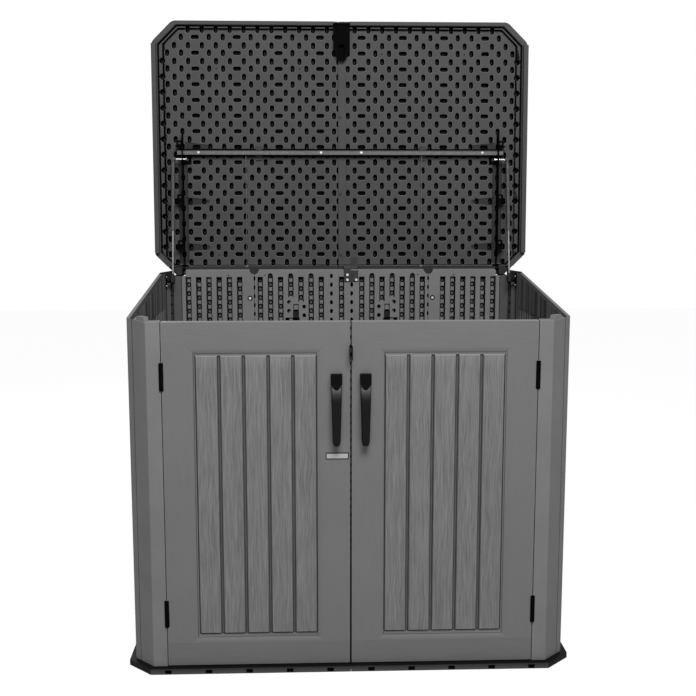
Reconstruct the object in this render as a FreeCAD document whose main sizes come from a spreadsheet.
import FreeCAD, Part
import math
import os
import re

import Sketcher

# A double wheelie bin store: panel-built walls on a two-part floor, a pair of hinged doors, and a
# wide lid in two lapped halves that stands open behind the back wall on two steel arms.
# X is to the right, +Y to the back, +Z up. The origin lies on the ground in the middle of the floor.

doc = FreeCAD.newDocument("BinStore")
dim = doc.addObject("Spreadsheet::Sheet", "Dim")
size_names = []
pieces = []
SIDES = {"left": -1, "right": 1}
FAR = 3000


def size(name, value):
    """Writes one driving dimension, in millimetres or degrees, into the sheet."""
    row = len(size_names) + 1
    dim.set(f"A{row}", name)
    dim.set(f"B{row}", str(value))
    dim.setAlias(f"B{row}", name)
    size_names.append(name)


def bound(text):
    """The expression with the sheet's name in front of each size."""
    def lead(word):
        return f"Dim.{word[0]}" if word[0] in size_names else word[0]
    return re.sub(r"[a-z][a-z0-9_]*", lead, str(text))


# Walls
size("half_width", 786)
size("half_depth", 512)
size("wall", 30)
size("corner", 75)
size("post_return", 51)
size("wall_front", 1273)
size("wall_back", 1386)
size("panel_gap", 1)
size("tongue_width", 10)
size("tongue_depth", 12)
size("tongue_play", 0.5)
size("tongue_drop", 20)
size("rib_width", 24)
size("rib_depth", 8)
size("rib_end", 40)
size("side_rib_span", 672)
size("side_groove_span", 688)
size("side_groove_width", 8)
size("side_groove_depth", 3)

# Back wall
size("back_seam", 382)
size("back_post_edge", 681)
size("column_half_span", 356)
size("column_width", 23)
size("column_depth", 12)
size("column_first_side", 446)
size("column_side_span", 222.5)
size("column_top_drop", 32)
size("seam_notch_radius", 20)
size("shelf_pad_inner", 166)
size("shelf_pad_outer", 235)
size("shelf_pad_bottom", 1120)
size("shelf_pad_top", 1222)
size("shelf_column_end_inner", 1245)
size("shelf_column_end_outer", 1265)
size("shelf_slot_depth", 6)
size("shelf_slot_inner", 189)
size("shelf_slot_outer", 212)
size("shelf_slot_bottom", 1202)
size("shelf_slot_top", 1234)
size("shelf_bar_outer", 247)
size("shelf_bar_bottom", 1163)
size("shelf_bar_top", 1174)
size("vent_radius", 3)
size("vent_inner", 335)
size("vent_outer", 494)
size("vent_drop", 24)
size("wall_screw_place", 401)
size("wall_screw_height", 1261)

# Floor
size("floor_margin", 22)
size("floor_corner", 88)
size("ledge_top", 22)
size("deck_top", 38)
size("deck_gap", 1)
size("floor_seam", 1)
size("floor_tab_reach", 40)
size("floor_tab_half_length", 60)
size("foot_slot_width", 24)
size("foot_slot_depth", 12)
size("foot_slot_bottom", 3)
size("foot_slot_top", 17)
size("foot_slot_first", 74)
size("foot_slot_span", 583)

# Doors
size("post_edge", 661)
size("door_edge_gap", 2)
size("door_gap", 4)
size("door_thickness", 36)
size("door_foot_gap", 3)
size("door_stop_gap", 4)
size("lip_reach", 21)
size("lip_depth", 12)
size("lip_web", 6)
size("lip_gap", 2)
size("lip_drop", 5)
size("recess_inner", 101)
size("recess_outer", 567)
size("recess_bottom", 110)
size("recess_top", 1180)
size("recess_bevel", 18)
size("recess_depth", 8)
size("plank_first", 122)
size("planks_width", 419)
size("plank_gap", 11)
size("plank_bottom", 143)
size("plank_top", 1153)
size("plank_rise", 6)
size("plank_bevel", 2)
size("door_rib_first", 62)
size("door_rib_span", 540)
size("door_rib_end", 160)

# Door hinges
size("hinge_lower", 219)
size("hinge_upper", 1080.5)
size("knuckle_length", 31)
size("knuckle_radius", 7.5)
size("knuckle_gap", 0.25)
size("knuckle_clearance", 0.8)
size("door_pin_radius", 3)
size("pin_fit", 0.05)
size("leaf", 3)
size("leaf_set", 4)
size("leaf_root", 10)
size("leaf_reach", 38)
size("slot_play", 0.2)
size("pin_head_radius", 4.5)
size("pin_head", 3)

# Handles, lock tabs and badge plate
size("handle_center", 51)
size("handle_top", 1091)
size("handle_bottom", 836)
size("handle_top_width", 41)
size("handle_bottom_width", 27)
size("handle_reach", 40)
size("handle_cap_reach", 26)
size("handle_cap_bottom", 1036)
size("handle_swell", 975)
size("grip_thickness", 14)
size("finger_bottom", 866)
size("finger_top", 1020)
size("handle_edge_round", 4)
size("grip_set", 6)
size("grip_slope_rise", 13.7)
size("cap_thickness", 8)
size("cap_half_width", 19.3)
size("cap_tongue_radius", 16.4)
size("handle_screw_low", 851)
size("handle_screw_high", 1066)
size("screw_radius", 2.5)
size("screw_head_radius", 5.5)
size("screw_head", 2.5)
size("screw_bite", 14)
size("tab_thickness", 3)
size("tab_reach", 33)
size("tab_bottom", 1140)
size("tab_top", 1188)
size("tab_seat", 29)
size("tab_round", 8)
size("padlock_radius", 5)
size("padlock_reach", 18)
size("badge_inner", 7.5)
size("badge_outer", 88.5)
size("badge_bottom", 783)
size("badge_top", 807)
size("badge_thickness", 2)
size("badge_set", 1)

# Slide bolt inside the left door
size("bolt_place", 40)
size("bolt_radius", 4)
size("bolt_play", 0.4)
size("bolt_hole_play", 2.2)
size("bolt_standoff", 18)
size("bolt_end_gap", 5)
size("bolt_length", 132)
size("bolt_travel", 28)
size("bolt_knob_radius", 3.5)
size("bolt_knob_reach", 24)
size("bolt_knob_drop", 12)
size("keep_bottom", 60)
size("keep_top", 124)
size("keep_half_width", 12)
size("keep_cover", 12)
size("bolt_hole_spare", 5)

# Lid: sizes across and along it, and heights off its landing face
size("hinge_back", 6)
size("hinge_rise", 5)
size("lean", 2)
size("close_slope", 5.55)
size("lid_half_width", 812)
size("lid_rear", 31)
size("lid_length", 1057)
size("lid_corner", 89)
size("lid_corner_round", 40)
size("lid_thickness", 32)
size("lid_edge_round", 8)
size("rim_drop", 10)
size("rim_side", 23)
size("rim_front", 16)
size("rim_start", 6)
size("skirt_width", 20)
size("skirt_drop", 28)
size("skirt_start", 66)
size("skirt_end", 960)
size("field_depth", 5)
size("field_side", 52)
size("field_front", 36)
size("field_start", 12)
size("lap_under", 12)
size("lap_over", 20.5)
size("lap_gap", 1)
size("lap_set", 4)
size("lap_screw_place", 3)
size("lap_screw_low", 56)
size("lap_screw_middle", 321)
size("lap_screw_high", 653)

# Ledges on the front posts that the lid lands on
size("lobe_start", 715)
size("lobe_length", 52)
size("lobe_thickness", 20)
size("lobe_inset", 2)
size("lobe_slope", 9)
size("lobe_gap", 0.5)
size("lobe_root", 20)

# Lid arms and cross bar
size("arm_place", 683.5)
size("arm_thickness", 4)
size("arm_top", 585)
size("arm_depth", 40)
size("arm_neck_depth", 19)
size("arm_neck_top", 40)
size("arm_neck_end", 70)
size("arm_eye_radius", 12)
size("lid_pin_radius", 5)
size("rung_reach", 715)
size("rung_thickness", 4)
size("rung_low", 95)
size("rung_middle", 294)
size("rung_high", 526)
size("foot_length", 25)
size("foot_thickness", 3)
size("seat_gap", 0.3)
size("inner_foot_edge", 650)
size("inner_foot_low", 451)
size("inner_foot_high", 489)
size("bar_half_length", 709)
size("bar_side", 20)
size("bar_wall", 2)
size("bar_place", 490)
size("bar_play", 0.3)
size("bar_screw_inner", 87.5)
size("bar_screw_outer", 617)
size("clip_place", 357)
size("clip_half_width", 14)
size("clip_low", 467)
size("clip_high", 529)
size("wire_left", 414)
size("wire_right", 352)
size("wire_radius", 1.2)
size("wire_depth", 9)
size("wire_foot_depth", 1.4)
size("wire_foot_place", 8)

# Hinge brackets on the back posts
size("notch_floor", 1358)
size("notch_outer", 731)
size("notch_front", 440)
size("bracket_place", 691)
size("bracket_thickness", 4)
size("bracket_eye_radius", 11)
size("bracket_front", 28)
size("bracket_back", 2)
size("bracket_reach", 728)
size("pivot_start", 676)
size("pivot_end", 697)
size("pivot_head_radius", 7)
size("pivot_head", 3)
size("bracket_screw_inner", 703)
size("bracket_screw_outer", 719)
size("pocket_radius", 15)
size("pocket_start", 672)
size("pocket_end", 701)

# Centre hinge
size("center_start", 10)
size("center_split", 40)
size("center_end", 73)
size("center_leaf_bottom", 1332)
size("center_knuckle_radius", 7.5)
size("center_pin_radius", 4)
size("center_pin_end", 75)
size("center_pocket_radius", 9)
size("center_pocket_play", 4)
size("center_recess_low", 2)
size("center_recess_high", 48)
size("center_leaf_high", 45)
size("center_screw_inner", 26)
size("center_screw_outer", 64.6)
size("center_screw_low", 1341)
size("center_screw_high", 1363)

# Gas struts
size("strut_place", 726)
size("strut_wall_gap", 106)
size("strut_foot_height", 1340)
size("strut_pin_depth", 27)
size("strut_pin_place", 470)
size("strut_pin_radius", 4)
size("strut_pin_start", 668)
size("strut_pin_end", 714)
size("tube_length", 310)
size("tube_radius", 8)
size("tube_bore", 6.5)
size("gland_length", 22)
size("tube_head", 14)
size("tube_plug", 16)
size("eye_radius", 9)
size("eye_start", 715)
size("eye_thickness", 13)
size("eye_bore", 4.3)
size("rod_radius", 4)
size("rod_length", 256)
size("piston_length", 10)
size("piston_play", 0.3)
size("rod_foot_length", 31)
size("rod_foot_width", 14)
size("rod_foot_pin_radius", 5)
size("rod_foot_pin_end", 718)
size("strut_plate_thickness", 3)
size("strut_plate_half_width", 17)
size("strut_plate_drop", 28)
size("strut_plate_rise", 30)
size("strut_bolt_place", 19)

# Hasp
size("hasp_center", 3)
size("hasp_half_width", 35.5)
size("hasp_end_half_width", 18)
size("hasp_length", 156)
size("hasp_thickness", 5)
size("hasp_taper", 110)
size("hasp_pivot_place", 1046)
size("hasp_pivot_depth", 10.5)
size("hasp_knuckle_radius", 5)
size("hasp_knuckle_half_length", 16.5)
size("hasp_knuckle_gap", 0.5)
size("hasp_pin_radius", 3)
size("hasp_neck", 12)
size("hasp_slot_start", 88.5)
size("hasp_slot_end", 142.5)
size("hasp_slot_half_width", 12)
size("hasp_plate", 3)
size("hasp_plate_length", 25)
size("hasp_notch_play", 1)
doc.recompute()

# Derived places, as expressions of the sizes
WALL_SLOPE = "atan((wall_back - wall_front) / (2 * half_depth))"
SIDE_EDGE = "(half_depth - corner - post_return)"
INNER_X = "(half_width - wall)"
INNER_Y = "(half_depth - wall)"
OUTER_DIAGONAL = "(half_width + half_depth - corner)"
INNER_DIAGONAL = f"({OUTER_DIAGONAL} - sqrt(2) * wall)"
TONGUE_TOP = "(wall_front - tongue_drop)"
DOOR_EDGE = "(post_edge - door_edge_gap)"
DOOR_BACK = "(half_depth - door_thickness)"
DOOR_BOTTOM = "(ledge_top + door_foot_gap)"
LIP_FRONT = f"({DOOR_BACK} - door_stop_gap)"
HINGE_X = "(post_edge - door_edge_gap / 2)"
HINGE_Y = "(half_depth + hinge_back)"
HINGE_Z = "(wall_back + hinge_rise)"
BOLT_Y = f"({DOOR_BACK} - bolt_standoff)"
BOLT_BOTTOM = "(deck_top + bolt_end_gap)"
BOLT_HOLE_BOTTOM = f"({BOLT_BOTTOM} - bolt_travel - bolt_hole_spare)"
SCREW_HOLE = "(screw_radius + pin_fit)"
ARM_END = "(arm_place + arm_thickness)"
FIELD_FACE = "(field_depth - seat_gap)"
STRUT_FOOT_Y = "(half_depth - strut_wall_gap)"
STRUT_RISE = (f"({HINGE_Z} - strut_foot_height + strut_pin_place * cos(lean)"
              " + strut_pin_depth * sin(lean))")
STRUT_LEAN = (f"({HINGE_Y} - {STRUT_FOOT_Y} + strut_pin_place * sin(lean)"
              " - strut_pin_depth * cos(lean))")
STRUT_LENGTH = f"sqrt(({STRUT_RISE}) ^ 2 + ({STRUT_LEAN}) ^ 2)"
LID_DIAGONAL = "(lid_half_width + lid_length - lid_corner)"
LID_REAR_DIAGONAL = "(lid_half_width + lid_rear - lid_corner)"

# How many of each repeated form there are on one piece
FOOT_SLOTS = 5
SIDE_RIBS = 15
SIDE_GROOVES = 9
SIDE_COLUMNS = 6
CENTER_COLUMNS_PER_SIDE = 8
PLANKS = 5
DOOR_RIBS = 10
PLANK_PITCH = f"((planks_width + plank_gap) / {PLANKS})"
COLUMN_PITCH = f"(column_half_span / {CENTER_COLUMNS_PER_SIDE})"
SHELF_COLUMN_ENDS = {4: "shelf_column_end_inner", 5: "shelf_column_end_outer"}


class Piece:
    """One sub-part. The left-hand one of a pair is the right-hand one mirrored in X."""

    TURN = {"X": FreeCAD.Rotation(FreeCAD.Vector(0, 1, 0), 90),
            "Y": FreeCAD.Rotation(FreeCAD.Vector(1, 0, 0), -90),
            "Z": FreeCAD.Rotation()}
    PLANE = {"X": "YZ_Plane", "Y": "XZ_Plane", "Z": "XY_Plane"}

    def __init__(self, name, side=1):
        self.body = doc.addObject("PartDesign::Body", name)
        self.body.Label = name
        self.side = side
        self.count = 0
        pieces.append(self)

    def new(self, kind):
        self.count += 1
        return self.body.newObject(kind, f"{self.body.Name}_{self.count}")

    def bind(self, feature, values):
        for place, text in values.items():
            feature.setExpression(place, bound(text))

    def start(self, span):
        """Where a span across X starts once it is on its own side."""
        return span[0] if self.side > 0 else f"-({span[1]})"

    def mirrored(self, text):
        return text if self.side > 0 else f"-({text})"

    def origin(self, role):
        features = self.body.Origin.OriginFeatures
        return next(feature for feature in features if feature.Role == role)

    def kind(self, shape, cut):
        return f"PartDesign::{'Subtractive' if cut else 'Additive'}{shape}"

    def block(self, x, y, z, cut=False):
        """A box from its spans along the three axes."""
        box = self.new(self.kind("Box", cut))
        self.bind(box, {"Length": f"({x[1]}) - ({x[0]})",
                        "Width": f"({y[1]}) - ({y[0]})",
                        "Height": f"({z[1]}) - ({z[0]})",
                        "Placement.Base.x": self.start(x),
                        "Placement.Base.y": y[0],
                        "Placement.Base.z": z[0]})
        return box

    def round(self, axis, center, span, radius, cut=False):
        """A cylinder along an axis; its centre is given by the other two coordinates."""
        cylinder = self.new(self.kind("Cylinder", cut))
        cylinder.Placement = FreeCAD.Placement(FreeCAD.Vector(), self.TURN[axis])
        low = self.start(span) if axis == "X" else span[0]
        across = center[0] if axis == "X" else self.mirrored(center[0])
        place = {"X": (low, across, center[1]),
                 "Y": (across, low, center[1]),
                 "Z": (across, center[1], low)}[axis]
        self.bind(cylinder, {"Radius": radius,
                             "Height": f"({span[1]}) - ({span[0]})",
                             "Placement.Base.x": place[0],
                             "Placement.Base.y": place[1],
                             "Placement.Base.z": place[2]})
        return cylinder

    def frustum(self, y, low_x, low_z, high_x, high_z, cut=False):
        """A block whose face at the first y and face at the second y differ in size."""
        wedge = self.new(self.kind("Wedge", cut))
        low_start = self.start(low_x)
        high_start = self.start(high_x)
        self.bind(wedge, {"Ymax": y[1], "Ymin": y[0],
                          "Xmax": f"{low_start} + ({low_x[1]}) - ({low_x[0]})", "Xmin": low_start,
                          "Zmax": low_z[1], "Zmin": low_z[0],
                          "X2max": f"{high_start} + ({high_x[1]}) - ({high_x[0]})", "X2min": high_start,
                          "Z2max": high_z[1], "Z2min": high_z[0]})
        return wedge

    def outline(self, axis, corners, offset):
        """A closed polygon across an axis, held to its corners by dimensions from the origin."""
        sketch = self.new("Sketcher::SketchObject")
        sketch.AttachmentSupport = [(self.origin(self.PLANE[axis]), "")]
        sketch.MapMode = "FlatFace"
        count = len(corners)
        turns = [2 * math.pi * index / count for index in range(count + 1)]
        points = [FreeCAD.Vector(math.cos(turn), math.sin(turn), 0) for turn in turns]
        for index in range(count):
            sketch.addGeometry(Part.LineSegment(points[index], points[index + 1]), False)
        for index in range(count):
            sketch.addConstraint(Sketcher.Constraint("Coincident", index, 2, (index + 1) % count, 1))
        for index, (across, along) in enumerate(corners):
            if axis != "X":
                across = self.mirrored(across)
            for direction, text in (("DistanceX", across), ("DistanceY", along)):
                number = sketch.addConstraint(Sketcher.Constraint(direction, index, 1, 1.0))
                sketch.setExpression(f"Constraints[{number}]", bound(text))
        sketch.setExpression("AttachmentOffset.Base.z", bound(offset))
        return sketch

    def slab(self, axis, corners, span, cut=False):
        """A flat-sided prism: a polygon across the axis, run along it over the span."""
        offset = {"X": self.start(span), "Y": f"-({span[1]})", "Z": span[0]}[axis]
        profile = self.outline(axis, corners, offset)
        prism = self.new("PartDesign::Pocket" if cut else "PartDesign::Pad")
        prism.Profile = profile
        prism.Reversed = cut
        self.bind(prism, {"Length": f"({span[1]}) - ({span[0]})"})
        return prism

    def repeat(self, feature, axis, span, count):
        """Spreads copies of a feature evenly over a span along an axis, outwards across X."""
        pattern = self.new("PartDesign::LinearPattern")
        pattern.Originals = [feature]
        pattern.Direction = (self.origin(f"{axis}_Axis"), [""])
        pattern.Reversed = axis == "X" and self.side < 0
        pattern.Occurrences = count
        self.bind(pattern, {"Length": span})
        self.body.Tip = pattern
        return pattern

    def cut_to_slope(self):
        """Trims the piece to the plane of the wall tops, which rises towards the back."""
        trim = self.new(self.kind("Box", True))
        trim.Placement = FreeCAD.Placement(FreeCAD.Vector(), FreeCAD.Rotation(FreeCAD.Vector(1, 0, 0), 1))
        self.bind(trim, {"Length": 2 * FAR, "Width": FAR, "Height": FAR,
                         "Placement.Base.x": -FAR,
                         "Placement.Base.y": "-half_depth",
                         "Placement.Base.z": "wall_front",
                         "Placement.Rotation.Angle": WALL_SLOPE})

    def soften(self, radius, choose):
        """Rounds the edges that the test picks out of the finished solid."""
        doc.recompute()
        base = self.body.Tip
        edges = [f"Edge{index + 1}" for index, edge in enumerate(base.Shape.Edges) if choose(edge)]
        if not edges:
            raise RuntimeError(f"no edge to round on {self.body.Label}")
        fillet = self.new("PartDesign::Fillet")
        fillet.Base = (base, edges)
        self.bind(fillet, {"Radius": radius})

    def on_lid(self):
        """Puts a piece drawn flat on the lid's landing face where the leaning open lid is."""
        axis = FreeCAD.Vector(-1, 0, 0)
        self.body.Placement = FreeCAD.Placement(FreeCAD.Vector(), FreeCAD.Rotation(axis, 1))
        self.bind(self.body, {"Placement.Base.y": HINGE_Y,
                              "Placement.Base.z": HINGE_Z,
                              "Placement.Rotation.Angle": "lean"})
        return self

    def on_strut(self):
        """Puts a piece drawn upright over the strut's foot along the strut's own line."""
        axis = FreeCAD.Vector(-1, 0, 0)
        self.body.Placement = FreeCAD.Placement(FreeCAD.Vector(), FreeCAD.Rotation(axis, 1))
        self.bind(self.body, {"Placement.Base.y": STRUT_FOOT_Y,
                              "Placement.Base.z": "strut_foot_height",
                              "Placement.Rotation.Angle": f"atan({STRUT_LEAN} / {STRUT_RISE})"})
        return self


def around(middle, half):
    return (f"{middle} - ({half})", f"{middle} + ({half})")


def wall_top(y):
    """Height of the sloping wall tops at a distance towards the back."""
    return f"(wall_front + (({y}) + half_depth) * (wall_back - wall_front) / (2 * half_depth))"


# Floor

def floor_panel(name, side):
    """Half of the floor. A tab of the right half reaches across the seam into the left one."""
    panel = Piece(f"floor_panel_{name}", side)
    reach = "(half_width + floor_margin)"
    edge = "(half_depth + floor_margin)"
    panel.slab("Z", [("floor_seam / 2", f"-{edge}"),
                     (f"{reach} - floor_corner", f"-{edge}"),
                     (reach, f"floor_corner - {edge}"),
                     (reach, f"{edge} - floor_corner"),
                     (f"{reach} - floor_corner", edge),
                     ("floor_seam / 2", edge)], ("0", "ledge_top"))
    side_x = f"({INNER_X} - deck_gap)"
    back_y = f"({INNER_Y} - deck_gap)"
    diagonal = f"({INNER_DIAGONAL} - sqrt(2) * deck_gap)"
    panel.slab("Z", [("floor_seam / 2", f"-{LIP_FRONT}"),
                     (f"{diagonal} - {LIP_FRONT}", f"-{LIP_FRONT}"),
                     (side_x, f"{side_x} - {diagonal}"),
                     (side_x, f"{diagonal} - {side_x}"),
                     (f"{diagonal} - {back_y}", back_y),
                     ("floor_seam / 2", back_y)], ("ledge_top", "deck_top"))
    slot = panel.block(around("foot_slot_first", "foot_slot_width / 2"),
                       (f"-{edge} - 1", f"-{edge} + foot_slot_depth"),
                       ("foot_slot_bottom", "foot_slot_top"), cut=True)
    panel.repeat(slot, "X", "foot_slot_span", FOOT_SLOTS)
    if side > 0:
        panel.block(("-floor_tab_reach", "floor_seam"), around("0", "floor_tab_half_length"),
                    ("0", "deck_top"))
    else:
        panel.block(("0", "floor_tab_reach + floor_seam"),
                    around("0", "floor_tab_half_length + floor_seam"),
                    ("-1", "deck_top + 1"), cut=True)
        panel.round("Z", ("bolt_place", f"-{BOLT_Y}"), (BOLT_HOLE_BOTTOM, "deck_top + 1"),
                    "bolt_radius + bolt_hole_play", cut=True)


# Corner posts

def post_plan(seam, front):
    """Plan of a corner post: a flat by the seam, the chamfer, and a return along the side."""
    sign = "-" if front else ""
    inner_bend = f"({INNER_DIAGONAL} - {INNER_X})"
    return [(seam, f"{sign}half_depth"),
            ("half_width - corner", f"{sign}half_depth"),
            ("half_width", f"{sign}(half_depth - corner)"),
            ("half_width", f"{sign}{SIDE_EDGE}"),
            (INNER_X, f"{sign}{SIDE_EDGE}"),
            (INNER_X, f"{sign}{inner_bend}"),
            (f"{INNER_DIAGONAL} - {INNER_Y}", f"{sign}{INNER_Y}"),
            (seam, f"{sign}{INNER_Y}")]


def side_groove(post, front):
    """Groove in a post's return that takes the side panel's tongue."""
    depth = "(tongue_depth + 1)"
    y = ((f"-{SIDE_EDGE} - {depth}", f"-{SIDE_EDGE} + 1") if front
         else (f"{SIDE_EDGE} - 1", f"{SIDE_EDGE} + {depth}"))
    post.block(around("half_width - wall / 2", "tongue_width / 2 + tongue_play"), y,
               ("ledge_top - 1", TONGUE_TOP), cut=True)


def corner_front(name, side):
    post = Piece(f"corner_front_{name}", side)
    post.slab("Z", post_plan("post_edge", True), ("ledge_top", "wall_back"))
    post.cut_to_slope()
    side_groove(post, True)
    lip_z = ("deck_top + lip_gap", "wall_front - lip_drop")
    post.block(("post_edge", "post_edge + lip_web"),
               (f"-{INNER_Y} - 1", f"-{LIP_FRONT} + lip_depth"), lip_z)
    post.block(("post_edge - lip_reach", "post_edge + lip_web"),
               (f"-{LIP_FRONT}", f"-{LIP_FRONT} + lip_depth"), lip_z)
    for height in ("hinge_lower", "hinge_upper"):
        hinge_seat(post, height, ("post_edge - 1", f"{HINGE_X} + leaf_reach + slot_play"))
    landing_ledge(post)


def landing_ledge(post):
    """Raised lobe on the chamfer; its top is just under the closed lid's landing face."""
    front_y = f"({OUTER_DIAGONAL} - lobe_start)"
    top = f"({HINGE_Z} - ({HINGE_Y} + {front_y}) * tan(close_slope) - lobe_gap)"
    low = "(wall_front - lobe_root)"
    back = "(lobe_inset + lobe_thickness)"
    lobe = post.new("PartDesign::AdditiveWedge")
    along = FreeCAD.Vector(post.side, 1, 0)
    upward = FreeCAD.Vector(0, 0, 1)
    lobe.Placement = FreeCAD.Placement(FreeCAD.Vector(), FreeCAD.Rotation(along, upward, FreeCAD.Vector()))
    depth = (f"-{back}", "-lobe_inset") if post.side > 0 else ("lobe_inset", back)
    post.bind(lobe, {"Xmax": "lobe_length", "Xmin": "0",
                     "Ymax": f"{top} - {low}", "Ymin": "0",
                     "Zmax": depth[1], "Zmin": depth[0],
                     "X2max": "lobe_length - lobe_slope", "X2min": "lobe_slope / 2",
                     "Z2max": depth[1], "Z2min": depth[0],
                     "Placement.Base.x": post.mirrored("lobe_start"),
                     "Placement.Base.y": f"-{front_y}",
                     "Placement.Base.z": low})


def corner_back(name, side):
    post = Piece(f"corner_back_{name}", side)
    post.slab("Z", post_plan("back_post_edge", False), ("ledge_top", "wall_back"))
    post.cut_to_slope()
    side_groove(post, False)
    post.block(("back_post_edge - 1", "back_post_edge + tongue_depth + 1"),
               around("half_depth - wall / 2", "tongue_width / 2 + tongue_play"),
               ("ledge_top - 1", TONGUE_TOP), cut=True)
    post.block(("back_post_edge - 1", "notch_outer"), ("notch_front", "half_depth + 1"),
               ("notch_floor", "wall_back + 1"), cut=True)
    for place in ("bracket_screw_inner", "bracket_screw_outer"):
        post.round("Z", (place, "half_depth - wall / 2"),
                   ("notch_floor - screw_bite - 1", "notch_floor + 1"), SCREW_HOLE, cut=True)
    for sign in ("-", "+"):
        post.round("X", (STRUT_FOOT_Y, f"strut_foot_height {sign} strut_bolt_place"),
                   (f"{INNER_X} - 1", f"{INNER_X} + screw_bite + 1"), SCREW_HOLE, cut=True)


# Wall panels

def side_panel(name, side):
    panel = Piece(f"side_panel_{name}", side)
    reach = f"({SIDE_EDGE} - panel_gap)"
    panel.block((INNER_X, "half_width"), (f"-{reach}", reach), ("ledge_top", "wall_back"))
    panel.cut_to_slope()
    tongue = f"({SIDE_EDGE} + tongue_depth)"
    panel.block(around("half_width - wall / 2", "tongue_width / 2"), (f"-{tongue}", tongue),
                ("ledge_top", f"{TONGUE_TOP} - 1"))
    rib = panel.block((f"{INNER_X} - 1", f"{INNER_X} + rib_depth"),
                      around("-side_rib_span / 2", "rib_width / 2"),
                      ("deck_top + rib_end", "wall_front - rib_end"), cut=True)
    panel.repeat(rib, "Y", "side_rib_span", SIDE_RIBS)
    groove = panel.block(("half_width - side_groove_depth", "half_width + 1"),
                         around("-side_groove_span / 2", "side_groove_width / 2"),
                         ("ledge_top + rib_end", "wall_front - rib_end"), cut=True)
    panel.repeat(groove, "Y", "side_groove_span", SIDE_GROOVES)


def back_column(panel, place):
    """One upright groove in the inner face of the back wall."""
    return panel.block(around(place, "column_width / 2"),
                       (f"{INNER_Y} - 1", f"{INNER_Y} + column_depth"),
                       ("deck_top + rib_end", "wall_back - column_top_drop"), cut=True)


def seam_notch(panel, place):
    panel.round("Y", (place, "wall_back"), (f"{INNER_Y} - 1", "half_depth + 1"),
                "seam_notch_radius", cut=True)


def back_panel_side(name, side):
    panel = Piece(f"back_panel_{name}", side)
    panel.block(("back_seam + panel_gap / 2", "back_post_edge - panel_gap"),
                (INNER_Y, "half_depth"), ("ledge_top", "wall_back"))
    panel.cut_to_slope()
    middle = around("half_depth - wall / 2", "tongue_width / 2")
    panel.block(("back_post_edge - panel_gap - 1", "back_post_edge + tongue_depth"), middle,
                ("ledge_top", f"{TONGUE_TOP} - 1"))
    panel.block(("back_seam - tongue_depth", "back_seam + panel_gap"), middle,
                ("ledge_top", f"{TONGUE_TOP} - 1"))
    first = back_column(panel, "column_first_side")
    panel.repeat(first, "X", "column_side_span", SIDE_COLUMNS)
    seam_notch(panel, "back_seam")
    panel.round("Y", ("vent_outer", "wall_back - vent_drop"),
                (f"{INNER_Y} - 1", f"{INNER_Y} + column_depth"), "vent_radius", cut=True)
    panel.round("Y", ("wall_screw_place", "wall_screw_height"),
                (f"{INNER_Y} - 1", f"{INNER_Y} + screw_bite + 1"), SCREW_HOLE, cut=True)


def back_panel_center():
    """Panel with a plain strip on each side of its middle groove, and pads for the shelf."""
    panel = Piece("back_panel_center")
    reach = "(back_seam - panel_gap / 2)"
    panel.block((f"-{reach}", reach), (INNER_Y, "half_depth"), ("ledge_top", "wall_back"))
    panel.cut_to_slope()
    back_column(panel, "0")
    for side in SIDES.values():
        panel.side = side
        for step in range(2, CENTER_COLUMNS_PER_SIDE + 1):
            back_column(panel, f"{COLUMN_PITCH} * {step}")
        panel.block((f"{reach} - tongue_depth - 1", "back_seam + 1"),
                    around("half_depth - wall / 2", "tongue_width / 2 + tongue_play"),
                    ("ledge_top - 1", TONGUE_TOP), cut=True)
        seam_notch(panel, "back_seam")
        panel.block(("shelf_pad_inner", "shelf_pad_outer"), (INNER_Y, f"{INNER_Y} + column_depth"),
                    ("shelf_pad_bottom", "shelf_pad_top"))
        for step, end in SHELF_COLUMN_ENDS.items():
            panel.block(around(f"{COLUMN_PITCH} * {step}", "column_width / 2"),
                        (INNER_Y, f"{INNER_Y} + column_depth"), ("shelf_pad_bottom", end))
        slot_y = (f"{INNER_Y} - 1", f"{INNER_Y} + shelf_slot_depth")
        panel.block(("shelf_slot_inner", "shelf_slot_outer"), slot_y,
                    ("shelf_slot_bottom", "shelf_slot_top"), cut=True)
        panel.block(("shelf_slot_inner", "shelf_bar_outer"), slot_y,
                    ("shelf_bar_bottom", "shelf_bar_top"), cut=True)
        panel.round("Y", ("vent_inner", "wall_back - vent_drop"),
                    (f"{INNER_Y} - 1", f"{INNER_Y} + column_depth"), "vent_radius", cut=True)
    panel.side = 1
    for across, height in center_screw_places():
        panel.round("Y", (across, height), (f"{INNER_Y} - 1", f"{INNER_Y} + screw_bite + 1"),
                    SCREW_HOLE, cut=True)


def center_screw_places():
    return [("center_screw_inner", "center_screw_high"),
            ("center_screw_inner", "center_screw_low"),
            ("center_screw_outer", "center_screw_low")]


def wall_screws():
    screws = Piece("wall_screws")
    for side in SIDES.values():
        screws.side = side
        screws.round("Y", ("wall_screw_place", "wall_screw_height"),
                     (f"{INNER_Y} - screw_head", INNER_Y), "screw_head_radius")
        screws.round("Y", ("wall_screw_place", "wall_screw_height"),
                     (INNER_Y, f"{INNER_Y} + screw_bite"), "screw_radius")


# Doors and their hinges

def hinge_seat(piece, height, slot_x):
    """Room for a hinge: a round notch for its barrel and a slot for its leaf."""
    half = "(knuckle_length * 1.5)"
    piece.round("Z", (HINGE_X, "-half_depth"), around(height, f"{half} + pin_head + knuckle_clearance"),
                "knuckle_radius + knuckle_clearance", cut=True)
    piece.block(slot_x, ("-half_depth + leaf_set - slot_play", "-half_depth + leaf_set + leaf + slot_play"),
                around(height, f"{half} + slot_play"), cut=True)


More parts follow.
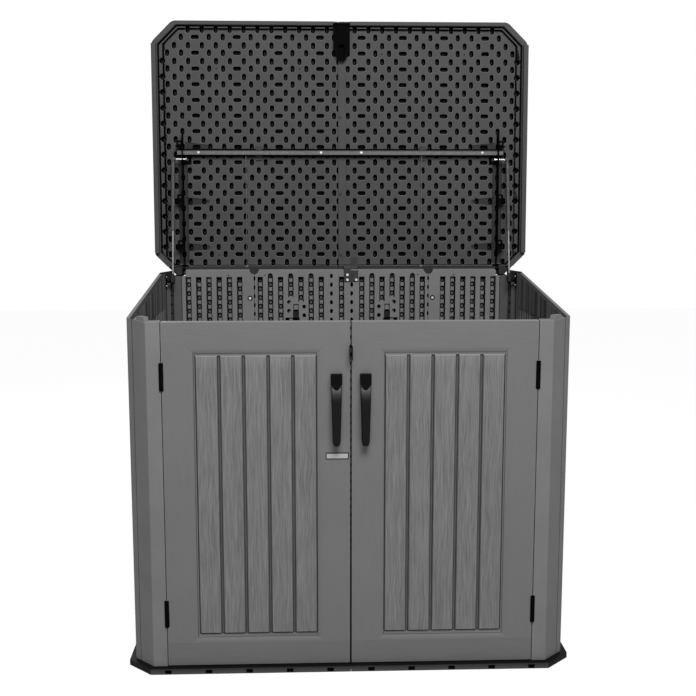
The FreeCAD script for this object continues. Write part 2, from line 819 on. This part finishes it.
def door(name, side):
    leaf = Piece(f"door_{name}", side)
    front = "-half_depth"
    leaf.block(("door_gap / 2", DOOR_EDGE), (front, f"-{DOOR_BACK}"), (DOOR_BOTTOM, "wall_front"))
    leaf.frustum((front, f"{front} + recess_depth"),
                 ("recess_inner", "recess_outer"), ("recess_bottom", "recess_top"),
                 ("recess_inner + recess_bevel", "recess_outer - recess_bevel"),
                 ("recess_bottom + recess_bevel", "recess_top - recess_bevel"), cut=True)
    floor_y = f"{front} + recess_depth"
    plank_end = f"plank_first + {PLANK_PITCH} - plank_gap"
    plank = leaf.frustum((f"{floor_y} - plank_rise", floor_y),
                         ("plank_first + plank_bevel", f"{plank_end} - plank_bevel"),
                         ("plank_bottom + plank_bevel", "plank_top - plank_bevel"),
                         ("plank_first", plank_end), ("plank_bottom", "plank_top"))
    leaf.repeat(plank, "X", f"planks_width + plank_gap - {PLANK_PITCH}", PLANKS)
    rib = leaf.block(around("door_rib_first", "rib_width / 2"),
                     (f"-{DOOR_BACK} - rib_depth", f"-{DOOR_BACK} + 1"),
                     (f"{DOOR_BOTTOM} + door_rib_end", "wall_front - rib_end"), cut=True)
    leaf.repeat(rib, "X", "door_rib_span", DOOR_RIBS)
    for height in ("handle_screw_low", "handle_screw_high"):
        leaf.block(around("handle_center", "rib_width / 2 + 1"),
                   (f"-{DOOR_BACK} - rib_depth", f"-{DOOR_BACK}"), around(height, "rib_end / 2"))
    for height in ("hinge_lower", "hinge_upper"):
        hinge_seat(leaf, height, (f"{HINGE_X} - leaf_reach - slot_play", "post_edge"))
    for height in ("handle_screw_low", "handle_screw_high"):
        leaf.round("Y", ("handle_center", height), (f"{front} - 1", f"-{DOOR_BACK} + 1"),
                   SCREW_HOLE, cut=True)
    leaf.block(("door_gap / 2 - 1", "door_gap / 2 + tab_thickness + 2 * slot_play"),
               (f"{front} - 1", f"{front} + tab_seat + slot_play"),
               ("tab_bottom - slot_play", "tab_top + slot_play"), cut=True)
    if side < 0:
        leaf.block(("badge_inner", "badge_outer"), (f"{front} - 1", f"{front} + badge_set"),
                   ("badge_bottom", "badge_top"), cut=True)


def hinge_leaves(kind, name, side):
    """Both hinges' leaves: on the post two outer knuckles, on the door the middle one."""
    leaves = Piece(f"hinge_{kind}_leaves_{name}", side)
    leaf_y = ("-half_depth + leaf_set", "-half_depth + leaf_set + leaf")
    for height in ("hinge_lower", "hinge_upper"):
        if kind == "post":
            leaves.block((f"{HINGE_X} + leaf_root", f"{HINGE_X} + leaf_reach"), leaf_y,
                         around(height, "knuckle_length * 1.5"))
            for sign in ("-", "+"):
                near = f"{height} {sign} (knuckle_length / 2 + knuckle_gap)"
                far = f"{height} {sign} knuckle_length * 1.5"
                spread = (far, near) if sign == "-" else (near, far)
                leaves.block((f"{HINGE_X} + 1", f"{HINGE_X} + leaf_root + 1"), leaf_y, spread)
                leaves.round("Z", (HINGE_X, "-half_depth"), spread, "knuckle_radius")
        else:
            spread = around(height, "knuckle_length / 2 - knuckle_gap")
            leaves.block((f"{HINGE_X} - leaf_reach", f"{HINGE_X} - leaf_root"), leaf_y,
                         around(height, "knuckle_length * 1.5"))
            leaves.block((f"{HINGE_X} - leaf_root - 1", f"{HINGE_X} - 1"), leaf_y, spread)
            leaves.round("Z", (HINGE_X, "-half_depth"), spread, "knuckle_radius")
        leaves.round("Z", (HINGE_X, "-half_depth"), around(height, "knuckle_length * 1.5 + 1"),
                     "door_pin_radius + pin_fit", cut=True)


def door_hinge_pins():
    pins = Piece("door_hinge_pins")
    for side in SIDES.values():
        pins.side = side
        for height in ("hinge_lower", "hinge_upper"):
            end = "(knuckle_length * 1.5)"
            axis = (HINGE_X, "-half_depth")
            pins.round("Z", axis, around(height, f"{end} + pin_head"), "door_pin_radius")
            pins.round("Z", axis, (f"{height} + {end}", f"{height} + {end} + pin_head"), "pin_head_radius")
            pins.round("Z", axis, (f"{height} - {end} - pin_head", f"{height} - {end}"), "pin_head_radius")


def handle(name, side):
    """A pull: a short cap on the door, and a grip that swells out from it and tapers down."""
    pull = Piece(f"handle_{name}", side)
    top_half = "(handle_top_width / 2)"
    end_half = "(handle_bottom_width / 2)"
    pull.slab("Y", [(f"handle_center - {end_half}", f"handle_bottom + {end_half}"),
                    (f"handle_center - {end_half} / 2", "handle_bottom"),
                    (f"handle_center + {end_half} / 2", "handle_bottom"),
                    (f"handle_center + {end_half}", f"handle_bottom + {end_half}"),
                    (f"handle_center + {top_half}", "handle_top"),
                    (f"handle_center - {top_half}", "handle_top")],
              ("-half_depth - handle_reach", "-half_depth"))
    across = around("handle_center", "handle_top_width")
    grip = "(handle_reach - grip_thickness)"
    front = "-half_depth"
    pull.slab("X", [(f"{front} + 1", "finger_top"),
                    (f"{front} + 1", "finger_bottom"),
                    (f"{front} - {grip}", "finger_bottom"),
                    (f"{front} - {grip}", "handle_swell - grip_thickness"),
                    (f"{front} - 1", "finger_top")], across, cut=True)
    pull.slab("X", [(f"{front} - handle_reach - 1", "handle_top + 1"),
                    (f"{front} - handle_reach - 1", "handle_swell"),
                    (f"{front} - handle_reach", "handle_swell"),
                    (f"{front} - handle_cap_reach + grip_set", "handle_cap_bottom + grip_slope_rise"),
                    (f"{front} - handle_cap_reach + grip_set", "handle_top + 1")], across, cut=True)
    pull.soften("handle_edge_round", front_edge(pull))
    cap_y = (f"{front} - handle_cap_reach", f"{front} - handle_cap_reach + cap_thickness")
    pull.round("Y", ("handle_center", "handle_cap_bottom + cap_tongue_radius"), cap_y, "cap_tongue_radius")
    pull.block(around("handle_center", "cap_half_width"), cap_y,
               (f"handle_cap_bottom + {top_half}", "handle_top"))
    for height in ("handle_screw_low", "handle_screw_high"):
        pull.round("Y", ("handle_center", height), (f"{front} - screw_bite - 1", f"{front} + 1"),
                   SCREW_HOLE, cut=True)


def front_edge(pull):
    """Picks the edges round the grip's flat front, but not the one where it starts to slope."""
    doc.recompute()
    shape = pull.body.Tip.Shape
    front = shape.BoundBox.YMin
    edges = [edge for edge in shape.Edges if edge.BoundBox.YMax < front + 0.01]
    slope_edge = max(edges, key=lambda edge: edge.BoundBox.ZMin)
    return lambda edge: edge.BoundBox.YMax < front + 0.01 and not edge.isSame(slope_edge)


def door_screws(name, side):
    screws = Piece(f"handle_screws_{name}", side)
    back = f"-{DOOR_BACK}"
    for height in ("handle_screw_low", "handle_screw_high"):
        screws.round("Y", ("handle_center", height), (back, f"{back} + screw_head"), "screw_head_radius")
        screws.round("Y", ("handle_center", height), ("-half_depth - screw_bite", back), "screw_radius")


def lock_tab(name, side):
    """Steel plate let into the door's edge; its padlock hole stands in front of the door."""
    tab = Piece(f"lock_tab_{name}", side)
    inner = "door_gap / 2 + slot_play"
    thickness = (inner, f"{inner} + tab_thickness")
    tab.block(thickness, ("-half_depth - tab_reach", "-half_depth + tab_seat"), ("tab_bottom", "tab_top"))
    tab.round("X", ("-half_depth - padlock_reach", "(tab_bottom + tab_top) / 2"),
              ("door_gap / 2 - 1", f"{inner} + tab_thickness + 1"), "padlock_radius", cut=True)
    doc.recompute()
    front = tab.body.Shape.BoundBox.YMin
    tab.soften("tab_round", lambda edge: edge.BoundBox.YMax < front + 0.01 and edge.BoundBox.ZLength < 0.01)


def badge_plate():
    plate = Piece("badge_plate", -1)
    plate.block(("badge_inner + slot_play", "badge_outer - slot_play"),
                ("-half_depth + badge_set - badge_thickness", "-half_depth + badge_set"),
                ("badge_bottom + slot_play", "badge_top - slot_play"))


def bolt_keep():
    """Housing on the left door's back that the slide bolt runs in."""
    keep = Piece("bolt_keep", -1)
    keep.block(around("bolt_place", "keep_half_width"),
               (f"-{DOOR_BACK}", f"-{BOLT_Y} + keep_cover"), ("keep_bottom", "keep_top"))
    keep.round("Z", ("bolt_place", f"-{BOLT_Y}"), ("keep_bottom - 1", "keep_top + 1"),
               "bolt_radius + bolt_play", cut=True)


def slide_bolt():
    bolt = Piece("slide_bolt", -1)
    top = f"({BOLT_BOTTOM} + bolt_length)"
    bolt.round("Z", ("bolt_place", f"-{BOLT_Y}"), (BOLT_BOTTOM, top), "bolt_radius")
    bolt.round("Y", ("bolt_place", f"{top} - bolt_knob_drop"),
               (f"-{BOLT_Y}", f"-{BOLT_Y} + bolt_knob_reach"), "bolt_knob_radius")


# Lid

def lid_half(name, side):
    """One moulded half. The right one's flange lies under the left one's along the middle."""
    lid = Piece(f"lid_{name}", side).on_lid()
    under = side > 0
    seam = "lap_over" if under else "lap_under + lap_gap / 2"
    lid.slab("Y", [(seam, "-lid_rear"),
                   ("lid_half_width - lid_corner", "-lid_rear"),
                   ("lid_half_width", "lid_corner - lid_rear"),
                   ("lid_half_width", "lid_length - lid_corner"),
                   ("lid_half_width - lid_corner", "lid_length"),
                   (seam, "lid_length")], ("0", "lid_thickness"))
    lap_middle = "(lid_thickness / 2)"
    if under:
        lid.block(("lap_gap / 2 - lap_under", "lap_over + 1"), ("0", lap_middle), ("-lid_rear", "lid_length"))
    else:
        lid.block(("-lap_over + lap_gap", "lap_under + 1"), (f"{lap_middle} + lap_gap / 2", "lid_thickness"),
                  ("-lid_rear", "lid_length"))
    inner = "(lap_gap / 2 - lap_under)" if under else "(lap_under + lap_gap / 2)"
    rim_diagonal = f"({LID_DIAGONAL} - sqrt(2) * rim_side)"
    rear_diagonal = f"({LID_REAR_DIAGONAL} - sqrt(2) * rim_side)"
    rim_x = "(lid_half_width - rim_side)"
    rim_z = "(lid_length - rim_front)"
    lid.slab("Y", [(f"{LID_REAR_DIAGONAL} + rim_start", "rim_start"),
                   ("lid_half_width", "lid_corner - lid_rear"),
                   ("lid_half_width", "lid_length - lid_corner"),
                   ("lid_half_width - lid_corner", "lid_length"),
                   (inner, "lid_length"),
                   (inner, rim_z),
                   (f"{rim_diagonal} - {rim_z}", rim_z),
                   (rim_x, f"{rim_diagonal} - {rim_x}"),
                   (rim_x, f"{rim_x} - {rear_diagonal}"),
                   (f"{rear_diagonal} + rim_start", "rim_start")], ("-rim_drop", "0"))
    lid.block(("lid_half_width - skirt_width", "lid_half_width"), ("-skirt_drop", "-rim_drop"),
              ("skirt_start", "skirt_end"))
    lid.soften("lid_corner_round", upright_corner(lid))
    lid.soften("lid_edge_round", outer_skin_edge)
    field_diagonal = f"({LID_DIAGONAL} - sqrt(2) * (field_side + field_front) / 2)"
    field_x = "(lid_half_width - field_side)"
    field_z = "(lid_length - field_front)"
    lid.slab("Y", [("lap_over" if under else inner, "field_start"),
                   (field_x, "field_start"),
                   (field_x, f"{field_diagonal} - {field_x}"),
                   (f"{field_diagonal} - {field_z}", field_z),
                   ("lap_over" if under else inner, field_z)], ("0", "field_depth"), cut=True)
    if under:
        lid.block(("lap_gap / 2 - lap_under - 1", "lap_over + 1"), ("-1", "lap_set"),
                  ("field_start", field_z), cut=True)
    lid_openings(lid, under)


def outer_skin_edge(edge):
    """True for the edges round the lid's outer skin, and not for its seam in the middle."""
    box = edge.BoundBox
    on_skin = box.YMin > float(dim.lid_thickness) - 0.01
    at_seam = box.XLength < 0.01 and abs(box.XMin) < float(dim.lid_corner)
    return on_skin and not at_seam


def upright_corner(lid):
    """Picks the lid's outline edges at the two front chamfer corners."""
    doc.recompute()
    box = lid.body.Tip.Shape.BoundBox
    reach = max(abs(box.XMin), abs(box.XMax))
    corner = float(dim.lid_corner)

    def choose(edge):
        middle = edge.CenterOfMass
        across = edge.BoundBox.XLength < 0.01 and edge.BoundBox.ZLength < 0.01
        outer = math.isclose(abs(middle.x), reach, abs_tol=0.1)
        side_point = outer and math.isclose(middle.z, box.ZMax - corner, abs_tol=0.1)
        inner = math.isclose(abs(middle.x), reach - corner, abs_tol=0.1)
        front_point = inner and math.isclose(middle.z, box.ZMax, abs_tol=0.1)
        return across and (side_point or front_point)
    return choose


def lid_openings(lid, under):
    """Pockets round the hinges, the notch for the hasp, and the screw holes."""
    lid.round("X", ("0", "0"), ("pocket_start", "pocket_end"), "pocket_radius", cut=True)
    if under:
        lid.round("X", ("0", "0"), ("center_start - center_pocket_play", "center_end + center_pocket_play"),
                  "center_pocket_radius", cut=True)
        lid.block(("center_start - center_pocket_play", "center_end + center_pocket_play"),
                  ("-1", "field_depth"), ("-center_recess_low", "center_recess_high"), cut=True)
    notch_half = "(hasp_half_width + hasp_notch_play)"
    notch = (f"-{notch_half} - hasp_center - 1" if under else "0",
             f"hasp_center + {notch_half}" if under else f"{notch_half} - hasp_center")
    lid.block(notch, ("-rim_drop - 1", "hasp_knuckle_radius - hasp_pivot_depth + hasp_notch_play"),
              ("lid_length - rim_front - 1", "lid_length + 1"), cut=True)
    lap_middle = "(lid_thickness / 2)"
    for place in ("lap_screw_low", "lap_screw_middle", "lap_screw_high"):
        across = "-lap_screw_place" if under else "lap_screw_place"
        lid.round("Y", (across, place), ("-1", f"{lap_middle} + screw_bite / 2 + 1"), SCREW_HOLE, cut=True)
    for across, place in arm_screw_places() + bar_screw_places():
        lid.round("Y", (across, place), ("0", "field_depth + screw_bite + 1"), SCREW_HOLE, cut=True)


def arm_screw_places():
    tab_middle = f"({ARM_END} + rung_reach) / 2"
    inner_middle = "(inner_foot_edge + arm_place) / 2"
    feet = [(tab_middle, f"{rung} + rung_thickness / 2 + foot_length / 2")
            for rung in ("rung_low", "rung_middle", "rung_high")]
    return feet + [(inner_middle, "(inner_foot_low + inner_foot_high) / 2")]


def bar_screw_places():
    return [(place, "bar_place + bar_side / 2") for place in ("bar_screw_inner", "bar_screw_outer")]


def lap_screws():
    screws = Piece("lap_screws", -1).on_lid()
    for place in ("lap_screw_low", "lap_screw_middle", "lap_screw_high"):
        screws.round("Y", ("lap_screw_place", place), ("lap_set - screw_head", "lap_set"),
                     "screw_head_radius")
        screws.round("Y", ("lap_screw_place", place), ("lap_set", "lid_thickness / 2 + screw_bite / 2"),
                     "screw_radius")


# Lid arms, cross bar and what fastens them

def hinge_arm(name, side):
    """Steel arm along the lid, hung on the bracket's pin, with three rungs and an inner foot."""
    arm = Piece(f"hinge_arm_{name}", side).on_lid()
    plate = ("arm_place", ARM_END)
    arm.slab("X", [(FIELD_FACE, "field_start + 1"),
                   (FIELD_FACE, "arm_top"),
                   ("-arm_depth", "arm_top"),
                   ("-arm_depth", "arm_neck_end"),
                   ("-arm_neck_depth", "arm_neck_top"),
                   ("-arm_eye_radius", "0"),
                   ("0", "0"),
                   ("-seat_gap", "field_start + 1")], plate)
    arm.round("X", ("0", "0"), plate, "arm_eye_radius")
    arm.round("X", ("0", "0"), ("arm_place - 1", f"{ARM_END} + 1"), "lid_pin_radius + pin_fit", cut=True)
    foot = ("field_depth - seat_gap - foot_thickness", FIELD_FACE)
    for rung in ("rung_low", "rung_middle", "rung_high"):
        half = "rung_thickness / 2"
        arm.block((f"{ARM_END} - 1", "rung_reach"), ("-arm_depth", FIELD_FACE), around(rung, half))
        arm.block((f"{ARM_END} - 1", "rung_reach"), foot, (rung, f"{rung} + {half} + foot_length"))
    arm.block(("inner_foot_edge", "arm_place + 1"), foot, ("inner_foot_low", "inner_foot_high"))
    arm.block(("arm_place - 1", f"{ARM_END} + 1"), ("-bar_side - bar_play", "bar_play"),
              ("bar_place - bar_play", "bar_place + bar_side + bar_play"), cut=True)
    arm.round("X", ("-strut_pin_depth", "strut_pin_place"), ("arm_place - 1", f"{ARM_END} + 1"),
              "strut_pin_radius + pin_fit", cut=True)
    for across, place in arm_screw_places():
        arm.round("Y", (across, place), ("0", "field_depth"), SCREW_HOLE, cut=True)


def arm_screws():
    screws = Piece("arm_screws").on_lid()
    face = "(field_depth - seat_gap - foot_thickness)"
    for side in SIDES.values():
        screws.side = side
        for across, place in arm_screw_places():
            screws.round("Y", (across, place), (f"{face} - screw_head", face), "screw_head_radius")
            screws.round("Y", (across, place), (face, "field_depth + screw_bite"), "screw_radius")


def cross_bar():
    bar = Piece("cross_bar").on_lid()
    reach = "bar_half_length"
    bar.block((f"-{reach}", reach), ("-bar_side", "0"), ("bar_place", "bar_place + bar_side"))
    bar.block((f"-{reach} - 1", f"{reach} + 1"), ("-bar_side + bar_wall", "-bar_wall"),
              ("bar_place + bar_wall", "bar_place + bar_side - bar_wall"), cut=True)
    for side in SIDES.values():
        bar.side = side
        for across, place in bar_screw_places():
            bar.round("Y", (across, place), ("-bar_side - 1", "1"), SCREW_HOLE, cut=True)


def cross_bar_screws():
    screws = Piece("cross_bar_screws").on_lid()
    for side in SIDES.values():
        screws.side = side
        for across, place in bar_screw_places():
            screws.round("Y", (across, place), ("-bar_side - screw_head", "-bar_side"), "screw_head_radius")
            screws.round("Y", (across, place), ("-bar_side", "field_depth + screw_bite"), "screw_radius")


def clip_plates():
    plates = Piece("clip_plates").on_lid()
    for side in SIDES.values():
        plates.side = side
        plates.block(around("clip_place", "clip_half_width"), ("0", "field_depth"), ("clip_low", "clip_high"))


def wire_stay(name, side):
    """Thin wire from the cross bar down to a foot on the lid's rear edge."""
    wire = Piece(f"wire_stay_{name}", side).on_lid()
    place = f"wire_{name}"
    strand = wire.new("PartDesign::AdditiveCylinder")
    axis = FreeCAD.Vector(1, 0, 0)
    strand.Placement = FreeCAD.Placement(FreeCAD.Vector(), FreeCAD.Rotation(axis, 1))
    drop = "(wire_depth - wire_foot_depth)"
    run = "(bar_place - wire_foot_place)"
    wire.bind(strand, {"Radius": "wire_radius",
                       "Height": f"sqrt({drop} ^ 2 + {run} ^ 2) - bar_play",
                       "Placement.Base.x": wire.mirrored(place),
                       "Placement.Base.y": "-wire_foot_depth",
                       "Placement.Base.z": "wire_foot_place",
                       "Placement.Rotation.Angle": f"atan({drop} / {run})"})
    wire.block(around(place, "2 * screw_radius"), ("-wire_foot_depth - wire_radius", "0"),
               ("wire_foot_place / 2", "field_start"))


def strut_upper_pins():
    pins = Piece("strut_upper_pins").on_lid()
    center = ("-strut_pin_depth", "strut_pin_place")
    for side in SIDES.values():
        pins.side = side
        pins.round("X", center, ("strut_pin_start", "strut_pin_end"), "strut_pin_radius")
        pins.round("X", center, ("strut_pin_start", "strut_pin_start + pivot_head"), "pivot_head_radius")


# Hinge line on the walls

def hinge_bracket(name, side):
    """Foot plate on the notch floor of the back post, with an upright ear for the arm's pin."""
    bracket = Piece(f"hinge_bracket_{name}", side)
    ear = ("bracket_place", "bracket_place + bracket_thickness")
    front = "(half_depth - bracket_front)"
    back = "(half_depth - bracket_back)"
    bracket.slab("X", [(front, "notch_floor"),
                       (back, "notch_floor"),
                       (back, f"{HINGE_Z} - bracket_eye_radius"),
                       (HINGE_Y, f"{HINGE_Z} - bracket_eye_radius"),
                       (HINGE_Y, HINGE_Z),
                       (f"{HINGE_Y} - bracket_eye_radius", HINGE_Z),
                       (front, "notch_floor + bracket_eye_radius")], ear)
    bracket.round("X", (HINGE_Y, HINGE_Z), ear, "bracket_eye_radius")
    bracket.block(("bracket_place", "bracket_reach"), (front, back), ("notch_floor", "notch_floor + leaf"))
    bracket.round("X", (HINGE_Y, HINGE_Z), ("bracket_place - 1", "bracket_place + bracket_thickness + 1"),
                  "lid_pin_radius + pin_fit", cut=True)
    for place in ("bracket_screw_inner", "bracket_screw_outer"):
        bracket.round("Z", (place, "half_depth - wall / 2"), ("notch_floor - 1", "notch_floor + leaf + 1"),
                      SCREW_HOLE, cut=True)


def bracket_screws():
    screws = Piece("bracket_screws")
    top = "(notch_floor + leaf)"
    for side in SIDES.values():
        screws.side = side
        for place in ("bracket_screw_inner", "bracket_screw_outer"):
            center = (place, "half_depth - wall / 2")
            screws.round("Z", center, ("notch_floor - screw_bite", top), "screw_radius")
            screws.round("Z", center, (top, f"{top} + screw_head"), "screw_head_radius")


def lid_pivot_pins():
    pins = Piece("lid_pivot_pins")
    center = (HINGE_Y, HINGE_Z)
    for side in SIDES.values():
        pins.side = side
        pins.round("X", center, ("pivot_start", "pivot_end"), "lid_pin_radius")
        pins.round("X", center, ("pivot_start", "pivot_start + pivot_head"), "pivot_head_radius")
        pins.round("X", center, ("bracket_place + bracket_thickness", "pivot_end"), "pivot_head_radius")


def center_hinge_wall_leaf():
    leaf = Piece("center_hinge_wall_leaf")
    face = (f"{INNER_Y} - leaf", INNER_Y)
    flange_bottom = "(wall_back + leaf / 10)"
    leaf.block(("center_start", "center_end"), face, ("center_leaf_bottom", wall_top(f"{INNER_Y} - leaf")))
    span = ("center_start", "center_split")
    leaf.block(span, face, ("center_leaf_bottom", flange_bottom))
    leaf.block(span, (f"{INNER_Y} - leaf", HINGE_Y), (flange_bottom, f"{flange_bottom} + leaf"))
    leaf.round("X", (HINGE_Y, HINGE_Z), span, "center_knuckle_radius")
    leaf.round("X", (HINGE_Y, HINGE_Z), ("center_start - 1", "center_split + 1"),
               "center_pin_radius + pin_fit", cut=True)
    for across, height in center_screw_places():
        leaf.round("Y", (across, height), (f"{INNER_Y} - leaf - 1", f"{INNER_Y} + 1"), SCREW_HOLE, cut=True)


def center_hinge_lid_leaf():
    leaf = Piece("center_hinge_lid_leaf").on_lid()
    span = ("center_split + knuckle_gap * 2", "center_end")
    leaf.round("X", ("0", "0"), span, "center_knuckle_radius")
    leaf.block(span, ("field_depth - seat_gap - leaf", FIELD_FACE), ("0", "center_leaf_high"))
    leaf.round("X", ("0", "0"), ("center_split", "center_end + 1"), "center_pin_radius + pin_fit", cut=True)


def center_hinge_pin():
    pin = Piece("center_hinge_pin")
    pin.round("X", (HINGE_Y, HINGE_Z), ("center_start - 2", "center_pin_end"), "center_pin_radius")


def center_hinge_screws():
    screws = Piece("center_hinge_screws")
    face = f"({INNER_Y} - leaf)"
    for across, height in center_screw_places():
        screws.round("Y", (across, height), (f"{face} - screw_head", face), "screw_head_radius")
        screws.round("Y", (across, height), (face, f"{INNER_Y} + screw_bite"), "screw_radius")


# Gas struts

def strut_bracket(name, side):
    bracket = Piece(f"strut_bracket_{name}", side)
    plate = (f"{INNER_X} - strut_plate_thickness", INNER_X)
    bracket.block(plate, around(STRUT_FOOT_Y, "strut_plate_half_width"),
                  ("strut_foot_height - strut_plate_drop", "strut_foot_height + strut_plate_rise"))
    for sign in ("-", "+"):
        bracket.round("X", (STRUT_FOOT_Y, f"strut_foot_height {sign} strut_bolt_place"),
                      (f"{plate[0]} - 1", f"{plate[1]} + 1"), SCREW_HOLE, cut=True)
    bracket.round("X", (STRUT_FOOT_Y, "strut_foot_height"), ("rod_foot_pin_end", INNER_X),
                  "rod_foot_pin_radius")


def strut_bracket_bolts():
    bolts = Piece("strut_bracket_bolts")
    face = f"({INNER_X} - strut_plate_thickness)"
    for side in SIDES.values():
        bolts.side = side
        for sign in ("-", "+"):
            center = (STRUT_FOOT_Y, f"strut_foot_height {sign} strut_bolt_place")
            bolts.round("X", center, (f"{face} - screw_head", face), "screw_head_radius")
            bolts.round("X", center, (face, f"{INNER_X} + screw_bite"), "screw_radius")


def strut_rod(name, side):
    """Rod with the fitting that turns on the wall bracket's pin, and the piston at its top."""
    rod = Piece(f"strut_rod_{name}", side).on_strut()
    width = around("strut_place", "rod_foot_width / 2")
    rod.round("X", ("0", "0"), width, "rod_foot_width / 2 + 2")
    rod.block(width, around("0", "rod_foot_width / 2"), ("0", "rod_foot_length"))
    rod.round("Z", ("strut_place", "0"), ("rod_foot_length - 1", "rod_length"), "rod_radius")
    rod.round("Z", ("strut_place", "0"), ("rod_length - piston_length", "rod_length"),
              "tube_bore - piston_play")
    rod.round("X", ("0", "0"), (f"{width[0]} - 1", f"{width[1]} + 1"),
              "rod_foot_pin_radius + pin_fit", cut=True)


def strut_tube(name, side):
    """Tube with its end seal round the rod and, at the top, an eye beside the arm's pin."""
    tube = Piece(f"strut_tube_{name}", side).on_strut()
    center = ("strut_place", "0")
    bottom = f"({STRUT_LENGTH} - tube_length)"
    top = f"({STRUT_LENGTH} - tube_head)"
    tube.round("Z", center, (bottom, top), "tube_radius")
    tube.round("Z", center, (f"{bottom} + gland_length", f"{top} - tube_plug"), "tube_bore", cut=True)
    tube.round("Z", center, (f"{bottom} - 1", f"{bottom} + gland_length + 1"),
               "rod_radius + pin_fit", cut=True)
    tube.round("Z", center, (f"{top} - 1", f"{STRUT_LENGTH} - eye_bore - 1"), "rod_radius + 1")
    eye = ("eye_start", "eye_start + eye_thickness")
    tube.round("X", ("0", STRUT_LENGTH), eye, "eye_radius")
    tube.round("X", ("0", STRUT_LENGTH), ("eye_start - 1", "eye_start + eye_thickness + 1"),
               "eye_bore", cut=True)


# Hasp

def hasp_bracket():
    """Plate on the lid's landing face at the front edge, with a knuckle at each end."""
    bracket = Piece("hasp_bracket").on_lid()
    ends = [("hasp_center - hasp_half_width", "hasp_center - hasp_knuckle_half_length - hasp_knuckle_gap"),
            ("hasp_center + hasp_knuckle_half_length + hasp_knuckle_gap", "hasp_center + hasp_half_width")]
    rear = "(lid_length - rim_front - hasp_plate_length)"
    front = "(lid_length - rim_front - hasp_notch_play)"
    bracket.block(around("hasp_center", "hasp_half_width"), ("-hasp_plate", "0"), (rear, front))
    for span in ends:
        bracket.block(span, ("-hasp_pivot_depth", "0"),
                      ("hasp_pivot_place - 2 * hasp_knuckle_radius", front))
        bracket.block(span, ("-hasp_pivot_depth", "hasp_knuckle_radius - hasp_pivot_depth"),
                      (f"{front} - 1", "hasp_pivot_place"))
        bracket.round("X", ("-hasp_pivot_depth", "hasp_pivot_place"), span, "hasp_knuckle_radius")
    bracket.round("X", ("-hasp_pivot_depth", "hasp_pivot_place"),
                  around("hasp_center", "hasp_half_width + 1"), "hasp_pin_radius + pin_fit", cut=True)


def hasp_pin():
    pin = Piece("hasp_pin").on_lid()
    pin.round("X", ("-hasp_pivot_depth", "hasp_pivot_place"), around("hasp_center", "hasp_half_width"),
              "hasp_pin_radius")


def hasp():
    """Tapering plate that hangs over the lock tabs when the lid is shut; they pass its slot."""
    plate = Piece("hasp").on_lid()
    low = "(-hasp_pivot_depth - hasp_thickness / 2)"
    thickness = (low, f"{low} + hasp_thickness")
    end = "(hasp_pivot_place - hasp_length)"
    taper = "(hasp_pivot_place - hasp_taper)"
    shoulder = "(hasp_pivot_place - hasp_neck)"
    plate.slab("Y", [("hasp_center - hasp_half_width", shoulder),
                     ("hasp_center - hasp_half_width", taper),
                     ("hasp_center - hasp_end_half_width", f"{end} + hasp_end_half_width / 2"),
                     ("hasp_center - hasp_end_half_width / 2", end),
                     ("hasp_center + hasp_end_half_width / 2", end),
                     ("hasp_center + hasp_end_half_width", f"{end} + hasp_end_half_width / 2"),
                     ("hasp_center + hasp_half_width", taper),
                     ("hasp_center + hasp_half_width", shoulder)], thickness)
    knuckle = around("hasp_center", "hasp_knuckle_half_length")
    plate.block(knuckle, thickness, (f"{shoulder} - 1", "hasp_pivot_place"))
    plate.round("X", ("-hasp_pivot_depth", "hasp_pivot_place"), knuckle, "hasp_knuckle_radius")
    plate.round("X", ("-hasp_pivot_depth", "hasp_pivot_place"), around("hasp_center", "hasp_half_width"),
                "hasp_pin_radius + pin_fit", cut=True)
    plate.block(around("hasp_center", "hasp_slot_half_width"), (f"{low} - 1", f"{low} + hasp_thickness + 1"),
                ("hasp_pivot_place - hasp_slot_end", "hasp_pivot_place - hasp_slot_start"), cut=True)


for name, side in SIDES.items():
    floor_panel(name, side)
    corner_front(name, side)
    corner_back(name, side)
    side_panel(name, side)
    back_panel_side(name, side)
    door(name, side)
    for kind in ("post", "door"):
        hinge_leaves(kind, name, side)
    handle(name, side)
    door_screws(name, side)
    lock_tab(name, side)
    lid_half(name, side)
    hinge_arm(name, side)
    wire_stay(name, side)
    hinge_bracket(name, side)
    strut_bracket(name, side)
    strut_rod(name, side)
    strut_tube(name, side)
back_panel_center()
wall_screws()
door_hinge_pins()
badge_plate()
bolt_keep()
slide_bolt()
lap_screws()
arm_screws()
cross_bar()
cross_bar_screws()
clip_plates()
strut_upper_pins()
bracket_screws()
lid_pivot_pins()
center_hinge_wall_leaf()
center_hinge_lid_leaf()
center_hinge_pin()
center_hinge_screws()
strut_bracket_bolts()
hasp_bracket()
hasp_pin()
hasp()
doc.recompute()


def check_cuts(piece):
    """Every cut has to take something away, and every added form has to add something."""
    volume = 0.0
    for feature in piece.body.Group:
        if not feature.isDerivedFrom("PartDesign::Feature"):
            continue
        change = feature.Shape.Volume - volume
        if abs(change) < 0.001:
            raise RuntimeError(f"{feature.Name} changes nothing")
        volume = feature.Shape.Volume


for item in doc.Objects:
    if "Invalid" in item.State or "Error" in item.State:
        raise RuntimeError(f"{item.Name} failed")
for piece in pieces:
    shape = piece.body.Shape
    if shape.isNull() or not shape.isValid():
        raise RuntimeError(f"{piece.body.Label} has no sound solid")
    check_cuts(piece)

os.makedirs("parts", exist_ok=True)
for piece in pieces:
    piece.body.Shape.exportStep(f"parts/{piece.body.Label}.step")
    print(piece.body.Label, len(piece.body.Shape.Solids), round(piece.body.Shape.Volume))
